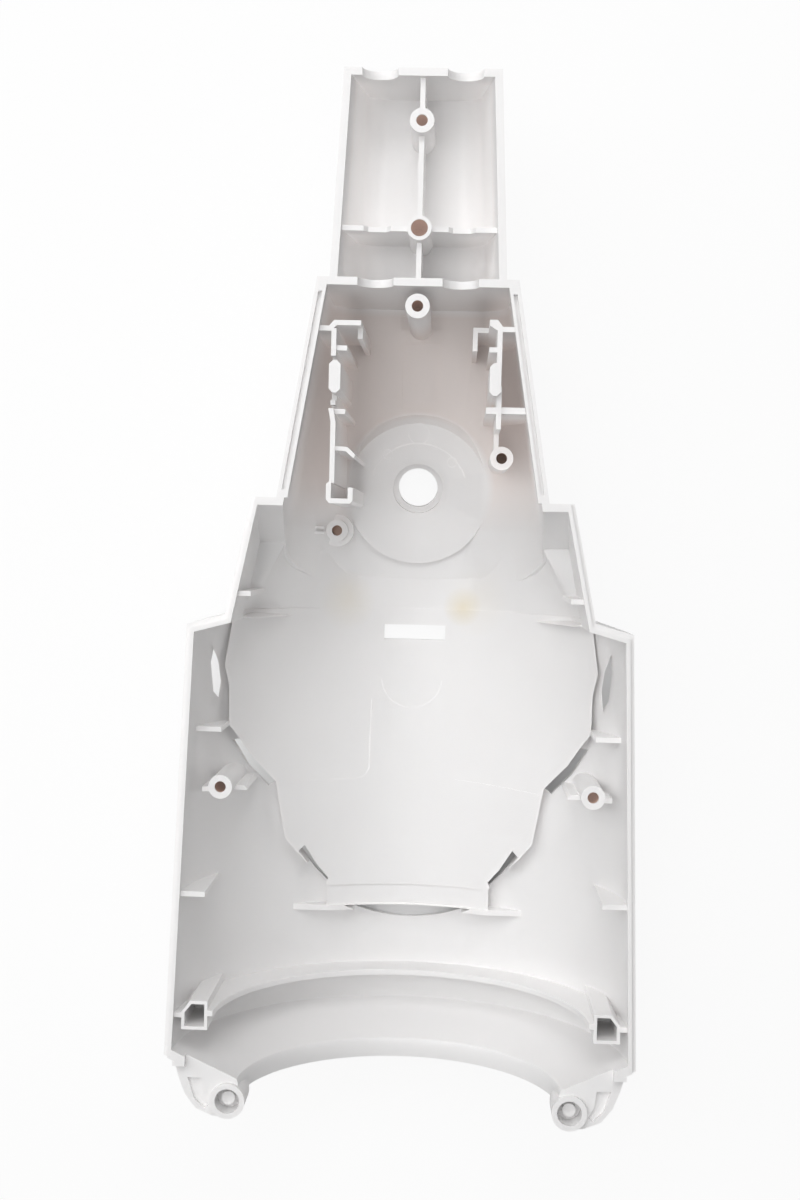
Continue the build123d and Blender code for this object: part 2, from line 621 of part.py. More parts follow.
def pad_frame():
    """Placing of the pad: on the middle line, tilted with the floor."""
    return Pos(0, PAD_Y, RIM - PAD_DROP) * Rot(PAD_TILT, 0, 0)


def pad_form():
    """Round pad with a skirt that runs out on the handle side."""
    upper = Circle(PAD_R)
    lower = Pos(0, PAD_SKIRT, -PAD_RISE) * Circle(PAD_R + PAD_SKIRT)
    form = loft([upper.face(), lower.face()], ruled=True)
    form += Pos(0, PAD_SKIRT, -PAD_RISE - OVER / 2) * Cylinder(PAD_R + PAD_SKIRT, OVER)
    return pad_frame() * form


def pad_cuts():
    """Bore, ring and dish of the pad, square to its tilted face."""
    cut = Cylinder(PAD_HOLE_R, RIM)
    cut += Pos(0, 0, OVER - PAD_DISH_DEPTH - PAD_RING_DEPTH) * Cylinder(PAD_RING_R, 2 * OVER)
    cut += Pos(0, 0, -PAD_DISH_DEPTH / 2 + 0.01) * Cone(PAD_RING_R, PAD_DISH_R, PAD_DISH_DEPTH)
    return pad_frame() * Pos(0, PAD_HOLE_SHIFT, 0) * cut


def floor_marks():
    """Shallow steps in the floor of the switch housing."""
    lower = housing_body(WALL - MARK_DEPTH, FLARE_TOP, HOUSING_TOP - WALL, 0)
    cuts = Part()
    for x0, x1, y0, y1 in FLOOR_MARKS:
        cuts += lower & block(x0, x1, y0, y1, 0, RIM - HANDLE_DEPTH)
    return cuts


def rim_cuts():
    """Steps and grooves of the rim, where the other half of the housing meets it."""
    wide = 2 * TROUGH_HALF[0]
    slab = block(-wide, wide, NECK_FOOT - OVER, FLARE_TOP, RIM - LEDGE_DROP, RIM + OVER)
    kept = trough_body(LEDGE_WIDTH, NECK_FOOT - 2 * OVER, TROUGH_TOP - LEDGE_WIDTH, 2 * OVER)
    kept += flare_body(LEDGE_WIDTH, TROUGH_TOP - LEDGE_WIDTH - 1, FLARE_TOP + 1, 2 * OVER)
    ledge = slab - kept
    groove = housing_body(GROOVE_INSET, FLARE_TOP, HOUSING_TOP, OVER)
    groove -= housing_body(GROOVE_INSET + GROOVE_WIDTH, FLARE_TOP - 1, HOUSING_TOP + 1, 2 * OVER)
    groove = groove & block(-wide, wide, FLARE_TOP + WALL, GROOVE_END, RIM - GROOVE_DROP, RIM + OVER)
    return ledge + groove


def rim_band():
    """Thicker band of the switch housing's side walls along the rim."""
    band = housing_body(0, FLARE_TOP, HOUSING_TOP, 0)
    band -= housing_body(BAND_WIDTH, FLARE_TOP - 1, HOUSING_TOP + 1, OVER)
    return band & block(-RIM, RIM, FLARE_TOP, HOUSING_TOP - WALL / 2, RIM - BAND_DEPTH, RIM)


os.makedirs("parts", exist_ok=True)
inside = left_guide() + right_guide() + handle_ribs() + arch_rib() + cross_rib() + pad_form() + rim_band()
for side in (-1, 1):
    inside += side_ribs(side)
for spot in BOSSES:
    inside += boss(spot, BOSS_R)
inside += boss((BOSS_E[0], BOSS_E[1], BOSS_E[2] + BOSS_E_BASE[1]), BOSS_E_BASE[0])
panel_block = prism(PANEL_OUTLINE, -OVER, RIM) - panel_skin(0)
outer = outer_form()
shell = outer - (cavity_form() - panel_block)
housing = shell + (inside & outer)
housing = housing + ear_form()
housing = housing - panel_recess() - tongue_step() - edge_slots() - lens_opening()
housing = housing - pad_cuts() - socket_cuts()
for spot in BOSSES:
    deep = BOSS_E_HOLE if spot is BOSS_E else SCREW_DEPTH
    housing -= screw_hole(spot, BOSS_HOLE_R, min(deep, RIM - spot[2] - BOSS_FLOOR - WALL))
for side in (-1, 1):
    housing -= box_opening(side)
housing -= post(BOSS_B[0], BOSS_B[1], BOSS_B_HOLE_R, RIM - SCREW_DEPTH, RIM + OVER)
housing -= block(-SLOT_HALF, SLOT_HALF, SLOT_Y[0], SLOT_Y[1], -OVER, RIM / 2)
housing -= scallops(HANDLE_END - WALL / 2, 0) + scallops(HOUSING_TOP - WALL / 2, 0)
housing = housing - floor_marks() - rim_cuts()
export_step(housing, "parts/upper_housing.step")
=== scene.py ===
"""Finished look of the upper housing of a stick vacuum, photographed from above with its open side up."""

import math

import bmesh
import bpy
from mathutils import Matrix, Vector
from mathutils.bvhtree import BVHTree

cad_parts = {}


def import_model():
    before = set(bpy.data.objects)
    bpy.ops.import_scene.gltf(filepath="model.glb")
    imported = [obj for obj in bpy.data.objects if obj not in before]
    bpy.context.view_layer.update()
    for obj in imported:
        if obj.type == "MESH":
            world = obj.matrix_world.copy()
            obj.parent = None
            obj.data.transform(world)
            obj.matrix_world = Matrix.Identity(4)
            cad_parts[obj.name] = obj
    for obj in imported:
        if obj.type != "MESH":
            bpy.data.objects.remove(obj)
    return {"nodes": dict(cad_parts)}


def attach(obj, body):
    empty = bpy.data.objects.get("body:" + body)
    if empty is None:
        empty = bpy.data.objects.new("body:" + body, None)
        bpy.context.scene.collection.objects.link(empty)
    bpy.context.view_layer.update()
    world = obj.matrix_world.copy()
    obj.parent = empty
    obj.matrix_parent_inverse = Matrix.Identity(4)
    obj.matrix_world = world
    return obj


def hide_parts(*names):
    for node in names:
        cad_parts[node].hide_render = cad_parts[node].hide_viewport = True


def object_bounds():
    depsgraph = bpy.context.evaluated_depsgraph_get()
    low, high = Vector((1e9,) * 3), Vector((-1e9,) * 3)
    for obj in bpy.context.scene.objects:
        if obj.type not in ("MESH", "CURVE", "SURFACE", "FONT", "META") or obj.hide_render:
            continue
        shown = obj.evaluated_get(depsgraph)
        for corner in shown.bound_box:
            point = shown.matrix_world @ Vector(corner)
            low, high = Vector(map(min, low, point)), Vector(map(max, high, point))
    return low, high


bl_info = {
    "name": "Stick vacuum upper housing",
    "version": (1, 0, 0),
    "blender": (4, 5, 0),
    "location": "View3D > Sidebar > Housing",
    "description": "Finishes the moulded half shell and sets up its studio picture",
    "category": "Object",
}

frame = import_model()
START_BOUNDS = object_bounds()

# Lengths, places and levels are in millimetres and angles in degrees, where no comment says otherwise
MM = 0.001
NODE = "upper_housing"
RIM = START_BOUNDS[1][2] / MM       # level of the rim
ABOVE = RIM + 24.0                  # a level above everything

# Picture of the shell: size of the image and the camera found for it, in pixels and millimetres
IMAGE_SIZE = (800, 1200)
FOCAL_PIXELS = 1640.0
DOWN_POINT = (456.5, 540.8)         # where the part's down direction vanishes in the image
CAMERA_ROLL = 0.0247                # in radians
CAMERA_SPOT = (12.48, 17.7, 522.0)
CAMERA_NEAR = 10.0
SENSOR_HEIGHT = 36.0

# Soft lamps round the shell: name, place and width in metres, and power in watts
LAMPS = [
    ("left lamp", (-0.75, 0.35, 0.65), 0.6, 2.8),
    ("upper left lamp", (-0.35, 0.20, 1.05), 0.7, 3.5),
    ("overhead lamp", (0.0, 0.0, 1.20), 0.5, 1.4),
    ("handle side lamp", (0.0, 0.75, 0.80), 0.6, 4.3),
    ("neck side lamp", (0.0, -0.75, 0.80), 0.6, 1.4),
]
LAMP_TARGET = (0, 0, 0.03)          # in metres

# Soft spots on the plastic: x, y, z, reach and strength
STAINS = [(-22.3, -1.9, 5.0, 10.0, 0.3), (15.1, -3.1, 4.0, 6.5, 0.55), (20.0, -1.0, 4.5, 12.0, 0.15)]
STAIN_EDGE = 1.0                    # how sharply a yellowed spot sets in
SPECKS = [(-5.8, 69.6, 11.0, 1.1, 1.0), (11.7, 66.9, 11.0, 0.8, 0.8)]
SPECK_EDGE = 3.0                    # how sharply a dark speck sets in
SPECK_DARK = 0.7                    # share of the light that a speck takes

# Screw holes: x, y, level of the boss's top, reach of the painted warm shade in them, and share of the
# painted glow in them
HOLES = [
    (0.0, 133.2, RIM, 1.8, 1.1),
    (0.0, 103.8, RIM, 2.5, 1.25),
    (0.0, 82.4, 65.4, 1.8, 0.45),
    (25.0, 42.0, 42.0, 1.8, 0.2),
    (-24.7, 20.0, 13.0, 1.8, 0.0),
    (-53.0, -54.0, 59.0, 1.8, 0.45),
    (53.0, -54.0, 59.0, 1.8, 0.9),
]
HOLE_EDGE = 0.05                    # width of the painted shade's edge round a hole
HOLE_LIP = (0.6, 0.4)               # how far below the boss's top the painted shade starts, and over what depth
HOLE_DEPTH = 17.0

# Painted warm shade and painted glow inside the shell. A soft edge is its place and the width over which it
# sets in
INSIDE_TURN = 0.13                  # how soon a wall counts as facing in, per millimetre from the middle
UNDER_TURN = 5.0                    # how soon a face counts as facing down
PAD_MIDDLE = 33.5
# where the painted warm shade lies, low in the switch housing round the pad
DEEP_ROUND_PAD = (21.5, 2.5)
DEEP_START = (20.0, 16.67)
DEEP_END = (88.0, 2.5)
DEEP_TOP = (48.0, 25.0)
# where the painted glow lies on the inside walls of the switch housing and of the handle
SWITCH_SIDE = (19.0, 5.0)
SWITCH_START = (22.0, 12.5)
SWITCH_END = (90.0, 2.5)
SWITCH_TOP = (62.0, 16.67)
HANDLE_SIDE = (10.0, 8.33)
HANDLE_START = (90.5, 2.5)
HANDLE_TOP = (65.5, 10.0)

# Colours of the floor and of the surroundings
FLOOR_COLOUR = (0.9, 0.9, 0.9)
WHITE = (1.0, 1.0, 1.0)

# Part of the floor under the trough that isn't lifted to white, with the same kind of soft edges
SHADE_SIDE = (70.0, 5.0)
SHADE_START = (-120.0, 5.0)
SHADE_END = (-16.5, 2.5)

# Finish of the plastic
GRAIN_HEIGHT = 0.2
CLOUD_DETAIL = 3.0
GRAIN_DETAIL = 2.0
ROUGHNESS_SPREAD = 0.16
REFRACTION = 1.5
LIGHT_REACH = (1.0, 0.9, 0.85)      # relative reach of red, green and blue light in the plastic

# Ramp at the flare's foot, from the panel's edge up into the flare's floor
RAMP_START = -4.35
RAMP_END_MIDDLE = 6.0
RAMP_END_SIDES = 16.0
RAMP_TURN = (18.0, 31.0)            # angles from straight down between which its end moves outwards
RAMP_HALF_ANGLE = 84.0              # its reach to each side of straight down
RAMP_STEPS = 90                     # slices from side to side
RAMP_STATIONS = 8                   # slices along the shell
RAMP_LINE = 0.15                    # depth of the line between the panel and the ramp
RAMP_SINK = 0.05                    # how far its end lies in the flare's floor
RAMP_SKIN = 0.06                    # how far its back stays inside the flare's outer skin
RAMP_THINNEST = 0.6
RAMP_LOWEST = 0.02
TROUGH_AXIS = RIM - 1.0             # level that the flare is measured from
FLARE_SOUND = -0.6                  # from here up the flare's wall is full
FLARE_RUN = 3.0                     # length over which the slope of its skin is taken
PANEL_INSET = 0.3                   # how far inside the panel's edge its level is taken

# Fine raised lines, each kind with its width and height
LINE_STEP = 0.8
LINE_FOOT = 0.2                     # how far a line reaches into the plastic
INSERT_PATHS = [
    [(-38.0, -58.0), (-17.0, -58.0), (-14.5, -57.0), (-13.2, -54.6), (-13.0, -33.0)],
    [(40.0, -59.5), (14.0, -57.6)],
]
INSERT_LINE = (0.3, 0.10)
PANEL_ARC = (-0.5, -25.8, 9.5, 185, 355)
PANEL_ARC_LINE = (0.3, 0.05)
PAD_CIRCLES = [(0.0, 50.6, 3.2), (-9.5, 44.0, 1.5), (10.5, 42.0, 1.5), (2.5, 17.0, 1.5)]
PAD_CIRCLE_LINE = (0.3, 0.06)
PAD_ARC = (0.0, 32.0, 15.6, 20, 160)
PAD_ARC_LINE = (0.4, 0.1)
ARC_STEP = 40.0                     # radius times angle of one step of an arc
ARC_STEPS = 10                      # fewest steps of an arc

# Pins in the round sockets, and the double rib beside the low boss
PIN_PLACE = (48.4, -142.5)
PIN_RADIUS = 1.9
PIN_LEVELS = (RIM - 7.4, RIM - 4.0)
RIB_ENDS = (-34.5, -28.4)
RIB_PLACES = (19.2, 20.8)
RIB_HALF = 0.35                     # half the thickness
RIB_LEVELS = (12.0, 16.2)

# Segments of the small round on an edge, how the plain mesh is cleaned, and how far past a surface the next
# one is looked for
EDGE_SEGMENTS = 2
MERGE_REACH = 0.004
SLIVER_LENGTH = 0.002
PAST_SURFACE = 0.2


class Socket:
    """Wraps a node socket, so that shader maths can be written as Python expressions."""

    def __init__(self, tree, socket):
        self.tree = tree
        self.socket = socket

    def maths(self, operation, *values):
        """Math node on some values, in this socket's tree."""
        return add_node(self.tree, "ShaderNodeMath", 0, dict(enumerate(values)), operation=operation)

    def __add__(self, other):
        return self.maths("ADD", self, other)

    def __radd__(self, other):
        return self.maths("ADD", other, self)

    def __sub__(self, other):
        return self.maths("SUBTRACT", self, other)

    def __rsub__(self, other):
        return self.maths("SUBTRACT", other, self)

    def __mul__(self, other):
        return self.maths("MULTIPLY", self, other)

    def __rmul__(self, other):
        return self.maths("MULTIPLY", other, self)

    def __pow__(self, other):
        return self.maths("POWER", self, other)

    def __abs__(self):
        return self.maths("ABSOLUTE", self)

    def clamp(self):
        """The value kept between 0 and 1."""
        return add_node(self.tree, "ShaderNodeClamp", 0, {"Value": self})

    def parts(self):
        """The three parts of a vector."""
        node = add_node(self.tree, "ShaderNodeSeparateXYZ", 0, {0: self}).socket.node
        return [Socket(self.tree, output) for output in node.outputs]


def add_node(tree, kind, output=None, inputs=None, **settings):
    """Adds a node, makes its settings, fills its inputs and returns one of its outputs."""
    node = tree.nodes.new(kind)
    for name, value in settings.items():
        setattr(node, name, value)
    for name, value in (inputs or {}).items():
        if isinstance(value, Socket):
            tree.links.new(value.socket, node.inputs[name])
        else:
            node.inputs[name].default_value = value
    return None if output is None else Socket(tree, node.outputs[output])


def opaque(colour):
    """Colour with full alpha."""
    return tuple(colour) + (1.0,)


# Places of the factor, the two colours and the result among a Mix node's inputs and outputs
MIX_FACTOR, MIX_UNDER, MIX_OVER, MIX_COLOUR = 0, 6, 7, 2


def tinted(tree, under, over, share):
    """Colour with a share of another over it."""
    inputs = {MIX_FACTOR: share, MIX_UNDER: under, MIX_OVER: over}
    return add_node(tree, "ShaderNodeMix", MIX_COLOUR, inputs, data_type="RGBA")


def scaled(tree, vector, factor):
    """Vector or colour times a number."""
    return add_node(tree, "ShaderNodeVectorMath", 0, {0: vector, "Scale": factor}, operation="SCALE")


def past(value, edge, width):
    """Mask that rises from 0 at an edge to 1 at a width past it."""
    return ((value - edge) * (1.0 / width)).clamp()


def before(value, edge, width):
    """Mask that falls from 1 at a width before an edge to 0 at it."""
    return ((edge - value) * (1.0 / width)).clamp()


def spots_mask(tree, spot, spots, sharpness):
    """Sum of round soft spots."""
    total = 0.0
    for x, y, z, reach, strength in spots:
        away = add_node(tree, "ShaderNodeVectorMath", "Value", {0: spot, 1: (x, y, z)}, operation="DISTANCE")
        total = total + ((1.0 - away * (1.0 / reach)) * sharpness).clamp() * strength
    return total


def hole_shade_and_glow_masks(x, y, z):
    """Painted shade in the screw holes, and the painted glow that shows in them."""
    holes = 0.0
    light = 0.0
    lip, lip_width = HOLE_LIP
    for hole_x, hole_y, top, reach, share in HOLES:
        # painted shade deep in each hole, and a painted glow there by its share
        away = ((x - hole_x) ** 2.0 + (y - hole_y) ** 2.0) ** 0.5
        hole = before(away, reach, HOLE_EDGE) * before(z, top - lip, lip_width)
        hole = hole * past(z, top - HOLE_DEPTH, HOLE_EDGE)
        holes = holes + hole
        light = light + hole * share
    return holes.clamp(), light


def inside_mask(tree, x):
    """Faces that look into the shell: away from its nearer side, and not down."""
    facing_x, _, facing_z = add_node(tree, "ShaderNodeNewGeometry", "Normal").parts()
    return (1.0 - facing_x * x * INSIDE_TURN).clamp() * (1.0 + facing_z * UNDER_TURN).clamp()


def painted_deep_shade_mask(inside, x, y, z):
    """Painted warm shade on the low part of the switch housing's inside, round the pad."""
    from_pad = (x ** 2.0 + (y - PAD_MIDDLE) ** 2.0) ** 0.5
    deep = inside * past(from_pad, *DEEP_ROUND_PAD) * past(y, *DEEP_START) * before(y, *DEEP_END)
    return deep * before(z, *DEEP_TOP)


def painted_glow_masks(inside, x, y, z):
    """Painted glow on the side walls, in the switch housing and in the handle, standing in for light through
    the thin walls.
    """
    switch = inside * past(abs(x), *SWITCH_SIDE) * past(y, *SWITCH_START) * before(y, *SWITCH_END)
    handle = inside * past(abs(x), *HANDLE_SIDE) * past(y, *HANDLE_START) * before(z, *HANDLE_TOP)
    return switch * before(z, *SWITCH_TOP), handle


def blank_material(name):
    """Material with an empty node tree."""
    material = bpy.data.materials.new(name)
    material.use_nodes = True
    material.node_tree.nodes.clear()
    return material, material.node_tree


def plastic_material(look):
    """Satin white plastic with faint clouding, fine grain and yellowed spots, with painted shade and painted
    glow inside the shell.
    """
    material, tree = blank_material("shell_plastic")
    place = add_node(tree, "ShaderNodeTexCoord", "Object")
    spot = scaled(tree, place, 1.0 / MM)
    x, y, z = spot.parts()
    cloud = add_node(tree, "ShaderNodeTexNoise", "Fac", {
        "Vector": place, "Scale": look.cloud_scale, "Detail": CLOUD_DETAIL})
    grain = add_node(tree, "ShaderNodeTexNoise", "Fac", {
        "Vector": place, "Scale": look.grain_scale, "Detail": GRAIN_DETAIL})
    stain = (spots_mask(tree, spot, STAINS, STAIN_EDGE) * (cloud * 2.0)).clamp()
    speck = (spots_mask(tree, spot, SPECKS, SPECK_EDGE) * SPECK_DARK).clamp()
    holes, painted_hole_glow = hole_shade_and_glow_masks(x, y, z)
    inside = inside_mask(tree, x)
    switch, handle = painted_glow_masks(inside, x, y, z)

    tone = tinted(tree, opaque(look.colour), opaque(look.stain_colour), stain)
    # painted warm shade low in the switch housing
    tone = tinted(tree, tone, opaque(look.painted_shade_and_glow_colour), painted_deep_shade_mask(inside, x, y, z) * look.painted_deep_shade_share)
    # painted shade: warm dark colour deep inside the screw holes
    tone = tinted(tree, tone, opaque(look.hole_shade_colour), holes)
    shade = (cloud - 0.5) * look.cloud_strength + 1.0 - speck
    # painted glow on the inside walls and in the screw holes
    painted_wall_glow = switch * (1.0 - holes) + handle * look.handle_glow_share + painted_hole_glow
    bump = add_node(tree, "ShaderNodeBump", "Normal", {
        "Height": grain, "Strength": look.grain_strength, "Distance": GRAIN_HEIGHT * MM})
    shader = add_node(tree, "ShaderNodeBsdfPrincipled", 0, {
        "Base Color": scaled(tree, tone, shade),
        "Roughness": (cloud - 0.5) * ROUGHNESS_SPREAD + look.roughness,
        "Normal": bump,
        "IOR": REFRACTION,
        "Subsurface Weight": look.translucency,
        "Subsurface Radius": LIGHT_REACH,
        "Subsurface Scale": look.translucency_depth,
        # painted glow: the plastic emits light inside the shell, though it is no lamp
        "Emission Color": scaled(tree, tuple(look.painted_shade_and_glow_colour), painted_wall_glow),
        "Emission Strength": look.painted_glow_strength,
    }, subsurface_method="BURLEY")
    add_node(tree, "ShaderNodeOutputMaterial", inputs={"Surface": shader})
    return material


class ShellLook(bpy.types.PropertyGroup):
    """Finish of the moulded shell."""

    edge_round: bpy.props.FloatProperty(
        name="Edge round", description="Width of the small round on moulded edges", default=0.00022,
        unit="LENGTH")
    edge_angle: bpy.props.FloatProperty(
        name="Edge angle", description="Edges sharper than this are rounded", default=math.radians(38),
        subtype="ANGLE")
    colour: bpy.props.FloatVectorProperty(
        name="Plastic colour", description="Base colour of the white plastic", default=(0.90, 0.892, 0.89),
        subtype="COLOR", size=3)
    stain_colour: bpy.props.FloatVectorProperty(
        name="Stain colour", description="Colour of the yellowed spots", default=(0.80, 0.70, 0.46),
        subtype="COLOR", size=3)
    # painted shade: the warm dark colour deep inside the screw holes
    hole_shade_colour: bpy.props.FloatVectorProperty(
        name="Hole colour", description="Warm colour deep inside the screw holes", default=(0.60, 0.42, 0.33),
        subtype="COLOR", size=3)
    # painted shade: the warmer colour low in the switch housing, also the colour of the painted glow
    painted_shade_and_glow_colour: bpy.props.FloatVectorProperty(
        name="Deep colour", description="Warmer colour low in the switch housing", default=(0.82, 0.75, 0.72),
        subtype="COLOR", size=3)
    # how far the painted warm shade shows
    painted_deep_shade_share: bpy.props.FloatProperty(
        name="Deep share", description="How far the deep colour shows", default=0.8, subtype="FACTOR")
    # painted glow on the walls of the switch housing, standing in for light through the thin walls
    painted_glow_strength: bpy.props.FloatProperty(
        name="Passed light", description="Light that comes through the side walls of the switch housing",
        default=0.11)
    # share of that painted glow on the handle's walls
    handle_glow_share: bpy.props.FloatProperty(
        name="Handle share", description="How much of that light comes through the handle's walls",
        default=1.3)
    translucency: bpy.props.FloatProperty(
        name="Translucency", description="Share of light that passes into the plastic", default=0.35,
        subtype="FACTOR")
    translucency_depth: bpy.props.FloatProperty(
        name="Translucency depth", description="How far light travels in the plastic", default=0.0009,
        unit="LENGTH")
    roughness: bpy.props.FloatProperty(
        name="Roughness", description="Mean roughness of the plastic", default=0.42)
    cloud_scale: bpy.props.FloatProperty(
        name="Cloud scale", description="Scale of the faint clouding", default=22.0)
    cloud_strength: bpy.props.FloatProperty(
        name="Cloud strength", description="Depth of the faint clouding", default=0.05)
    grain_scale: bpy.props.FloatProperty(
        name="Grain scale", description="Scale of the fine surface grain", default=2600.0)
    grain_strength: bpy.props.FloatProperty(
        name="Grain strength", description="Depth of the fine surface grain", default=0.12)


class StageLook(bpy.types.PropertyGroup):
    """Floor, light and camera of the picture."""

    floor_size: bpy.props.FloatProperty(
        name="Floor size", description="Width of the white floor", default=4.0, unit="LENGTH")
    light: bpy.props.FloatProperty(
        name="Light", description="Share of every lamp's power that is used", default=0.87)
    sky: bpy.props.FloatProperty(
        name="Surroundings", description="Strength of the even light from all round", default=0.20)
    floor_glow: bpy.props.FloatProperty(
        name="Floor white", description="How far the floor is lifted to white for the camera", default=0.9,
        subtype="FACTOR")
    under_shade: bpy.props.FloatProperty(
        name="Shade under the trough", description="How much less the floor is lifted under the trough",
        default=1.0, subtype="FACTOR")


def first_hits(skin, start, direction):
    """Distances from a point to the first two surfaces in a direction, or None."""
    start = Vector(start) * MM
    direction = Vector(direction).normalized()
    near = skin.ray_cast(start, direction)[3]
    if near is None:
        return None
    far = skin.ray_cast(start + direction * (near + PAST_SURFACE * MM), direction)[3]
    if far is None:
        return None
    return near / MM, near / MM + far / MM + PAST_SURFACE


def closed_strip(work, rows):
    """Closed solid through rows of points, each row a ring of the same length."""
    rings = [[work.verts.new(Vector(point) * MM) for point in row] for row in rows]
    count = len(rings[0])
    for ring, following in zip(rings, rings[1:]):
        for index in range(count):
            after = (index + 1) % count
            work.faces.new((ring[index], ring[after], following[after], following[index]))
    work.faces.new(rings[0][::-1])
    work.faces.new(rings[-1])


def eased(value, start, end):
    """Share from 0 to 1 between two values, with a soft start and end."""
    share = min(1.0, max(0.0, (value - start) / (end - start)))
    return share * share * (3.0 - 2.0 * share)


def ramp_slice(skin, angle):
    """Ring of points round the ramp at one angle, or None where a surface is missing."""
    across, down = math.sin(math.radians(angle)), -math.cos(math.radians(angle))
    end_y = RAMP_END_MIDDLE + (RAMP_END_SIDES - RAMP_END_MIDDLE) * eased(abs(angle), *RAMP_TURN)
    hits = [
        first_hits(skin, (0.0, y, TROUGH_AXIS), (across, 0.0, down))
        for y in (RAMP_START - PANEL_INSET, end_y, FLARE_SOUND, FLARE_SOUND + FLARE_RUN)
    ]
    if None in hits:
        return None
    panel, end, foot, after = hits
    slope = (foot[1] - after[1]) / FLARE_RUN
    front = []
    back = []
    for station in range(RAMP_STATIONS + 1):
        share = station / RAMP_STATIONS
        y = RAMP_START + (end_y - RAMP_START) * share
        near = (panel[0] + RAMP_LINE) * (1.0 - share) + (end[0] + RAMP_SINK) * share
        far = max(foot[1] + slope * (FLARE_SOUND - y) - RAMP_SKIN, near + RAMP_THINNEST)
        for side, reach in ((front, near), (back, far)):
            side.append((across * reach, y, max(TROUGH_AXIS + down * reach, RAMP_LOWEST)))
    return front + back[::-1]


def flare_ramp(work, skin):
    """Smooth ramp from the panel's edge up to the flare's floor, with a fine line left before it."""
    angles = [RAMP_HALF_ANGLE * (2.0 * step / RAMP_STEPS - 1.0) for step in range(RAMP_STEPS + 1)]
    slices = [ramp_slice(skin, angle) for angle in angles]
    closed_strip(work, [points for points in slices if points is not None])


def surface_line(work, skin, points, width, height):
    """Fine raised line that follows the surface under a path."""
    marks = []
    for start, end in zip(points, points[1:]):
        start, end = Vector(start), Vector(end)
        length = (end - start).length
        along = (end - start) / length
        across = Vector((-along.y, along.x)) * width / 2
        steps = max(1, int(length / LINE_STEP))
        marks += [(start + along * length * step / steps, across) for step in range(steps)]
    marks.append((Vector(points[-1]), marks[-1][1]))
    rows = []
    for spot, across in marks:
        hit = skin.ray_cast(Vector((spot.x, spot.y, ABOVE)) * MM, Vector((0, 0, -1)))[0]
        if hit is None:
            continue
        left, right = spot + across, spot - across
        low, high = hit.z / MM - LINE_FOOT, hit.z / MM + height
        rows.append([(*left, low), (*right, low), (*right, high), (*left, high)])
    closed_strip(work, rows)


def arc_points(x, y, radius, start=0.0, end=360.0):
    """Points round a circle or along an arc."""
    steps = max(ARC_STEPS, int(radius * abs(end - start) / ARC_STEP))
    marks = [math.radians(start + (end - start) * step / steps) for step in range(steps + 1)]
    return [(x + radius * math.cos(mark), y + radius * math.sin(mark)) for mark in marks]


def upright(work, outline, low, high):
    """Upright solid on an outline."""
    foot = work.faces.new([work.verts.new(Vector((x, y, low)) * MM) for x, y in outline])
    made = bmesh.ops.extrude_face_region(work, geom=[foot])["geom"]
    head = [item for item in made if isinstance(item, bmesh.types.BMVert)]
    bmesh.ops.translate(work, verts=head, vec=(0.0, 0.0, (high - low) * MM))


def small_forms(work, skin):
    """Fine moulded forms of the shell that only its picture shows."""
    flare_ramp(work, skin)
    for side in (-1, 1):
        upright(work, arc_points(side * PIN_PLACE[0], PIN_PLACE[1], PIN_RADIUS)[:-1], *PIN_LEVELS)
    for path in INSERT_PATHS:
        surface_line(work, skin, path, *INSERT_LINE)
    surface_line(work, skin, arc_points(*PANEL_ARC), *PANEL_ARC_LINE)
    for circle in PAD_CIRCLES:
        surface_line(work, skin, arc_points(*circle), *PAD_CIRCLE_LINE)
    surface_line(work, skin, arc_points(*PAD_ARC), *PAD_ARC_LINE)
    start, end = RIB_ENDS
    for y in RIB_PLACES:
        low, high = y - RIB_HALF, y + RIB_HALF
        upright(work, [(start, low), (end, low), (end, high), (start, high)], *RIB_LEVELS)


def finished_copy(node, look):
    """Copy of a node's mesh with doubles merged, fine forms added and its normals set by angle."""
    source = frame["nodes"][node]
    mesh = source.data.copy()
    mesh.name = "finished_" + node
    work = bmesh.new()
    work.from_mesh(mesh)
    bmesh.ops.remove_doubles(work, verts=work.verts, dist=MERGE_REACH * MM)
    bmesh.ops.dissolve_degenerate(work, edges=work.edges, dist=SLIVER_LENGTH * MM)
    small_forms(work, BVHTree.FromBMesh(work))
    bmesh.ops.recalc_face_normals(work, faces=work.faces)
    for face in work.faces:
        face.smooth = True
    for edge in work.edges:
        edge.smooth = edge.is_manifold and edge.calc_face_angle(0.0) < look.edge_angle
    work.to_mesh(mesh)
    work.free()
    mesh.materials.clear()
    piece = bpy.data.objects.new("housing_shell", mesh)
    bpy.context.collection.objects.link(piece)
    return piece


class HOUSING_OT_shell(bpy.types.Operator):
    """Add the finished shell in place of the plain one"""

    bl_idname = "housing.shell"
    bl_label = "Finish shell"

    def execute(self, context):
        look = context.scene.shell_look
        if NODE not in frame["nodes"]:
            raise RuntimeError("the frame has no shell")
        piece = finished_copy(NODE, look)
        piece.data.materials.append(plastic_material(look))
        rounds = piece.modifiers.new("edge rounds", "BEVEL")
        rounds.width = look.edge_round
        rounds.segments = EDGE_SEGMENTS
        rounds.limit_method = "ANGLE"
        rounds.angle_limit = look.edge_angle
        rounds.use_clamp_overlap = True
        rounds.harden_normals = True
        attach(piece, "root")
        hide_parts(NODE)
        return {"FINISHED"}


